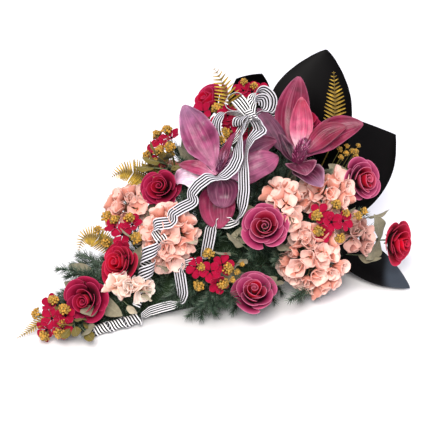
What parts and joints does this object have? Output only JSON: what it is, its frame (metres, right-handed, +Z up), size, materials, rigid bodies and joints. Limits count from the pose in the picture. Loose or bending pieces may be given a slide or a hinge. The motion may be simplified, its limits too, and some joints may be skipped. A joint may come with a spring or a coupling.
{
  "type": "funeral bouquet",
  "caption": "Drop-shaped lying bouquet of artificial roses, magnolias, hydrangeas and fir on a foam base, with a black collar and a striped ribbon bow.",
  "frame": {"origin": "middle of the underside of the base board, on the surface that the bouquet lies on", "axes": "+X from the drop's narrow tip to its broad head, +Z up, -Y to the side that is looked at"},
  "size_m": [0.8528, 0.483, 0.3997],
  "materials": {
    "board": "matt dark green plastic board",
    "foam": "dull green dry floral foam",
    "rose_petal": "matt dyed polyester cloth, crimson to mauve",
    "stem_green": "dusty grey-green plastic stems and cloth leaves",
    "magnolia_petal": "satin coated cloth, mauve pink with fine veins",
    "hydrangea_petal": "matt dyed polyester cloth, peach to salmon",
    "red_spray": "matt crimson cloth florets with golden seed heads",
    "gold_fern": "matt old-gold plastic",
    "fir_needle": "dark green plastic film needles on wire",
    "black_sheet": "black coated florist's sheet with a soft sheen",
    "striped_ribbon": "white grosgrain with lengthwise black stripes"
  },
  "bodies": {
    "root": {"base_board": "board", "foam_block": "foam", "rose_bloom_1": "rose_petal", "rose_bloom_2": "rose_petal", "rose_bloom_3": "rose_petal", "rose_bloom_4": "rose_petal", "rose_bloom_5": "rose_petal", "rose_bloom_6": "rose_petal", "rose_bloom_7": "rose_petal", "rose_bloom_8": "rose_petal", "rose_bloom_9": "rose_petal", "rose_bloom_10": "rose_petal", "rose_stem_1": "stem_green", "rose_stem_2": "stem_green", "rose_stem_3": "stem_green", "rose_stem_4": "stem_green", "rose_stem_5": "stem_green", "rose_stem_6": "stem_green", "rose_stem_7": "stem_green", "rose_stem_8": "stem_green", "rose_stem_9": "stem_green", "rose_stem_10": "stem_green", "magnolia_bloom_1": "magnolia_petal", "magnolia_bloom_2": "magnolia_petal", "magnolia_stem_1": "stem_green", "magnolia_stem_2": "stem_green", "hydrangea_1": "hydrangea_petal", "hydrangea_2": "hydrangea_petal", "hydrangea_3": "hydrangea_petal", "hydrangea_4": "hydrangea_petal", "hydrangea_5": "hydrangea_petal", "hydrangea_6": "hydrangea_petal", "hydrangea_7": "hydrangea_petal", "hydrangea_8": "hydrangea_petal", "spray_1": "red_spray", "spray_2": "red_spray", "spray_3": "red_spray", "spray_4": "red_spray", "spray_5": "red_spray", "spray_6": "red_spray", "spray_7": "red_spray", "fern_tip": "gold_fern", "fern_left": "gold_fern", "fern_brush": "gold_fern", "fern_top": "gold_fern", "fern_black": "gold_fern", "fir_1": "fir_needle", "fir_2": "fir_needle", "fir_3": "fir_needle", "fir_4": "fir_needle", "fir_5": "fir_needle", "fir_6": "fir_needle", "fir_7": "fir_needle", "sheet_up": "black_sheet", "sheet_right": "black_sheet", "sheet_low": "black_sheet", "sheet_back": "black_sheet", "ribbon_bow": "striped_ribbon", "ribbon_tail_short": "striped_ribbon", "ribbon_tail_long": "striped_ribbon"}
  },
  "joints": []
}
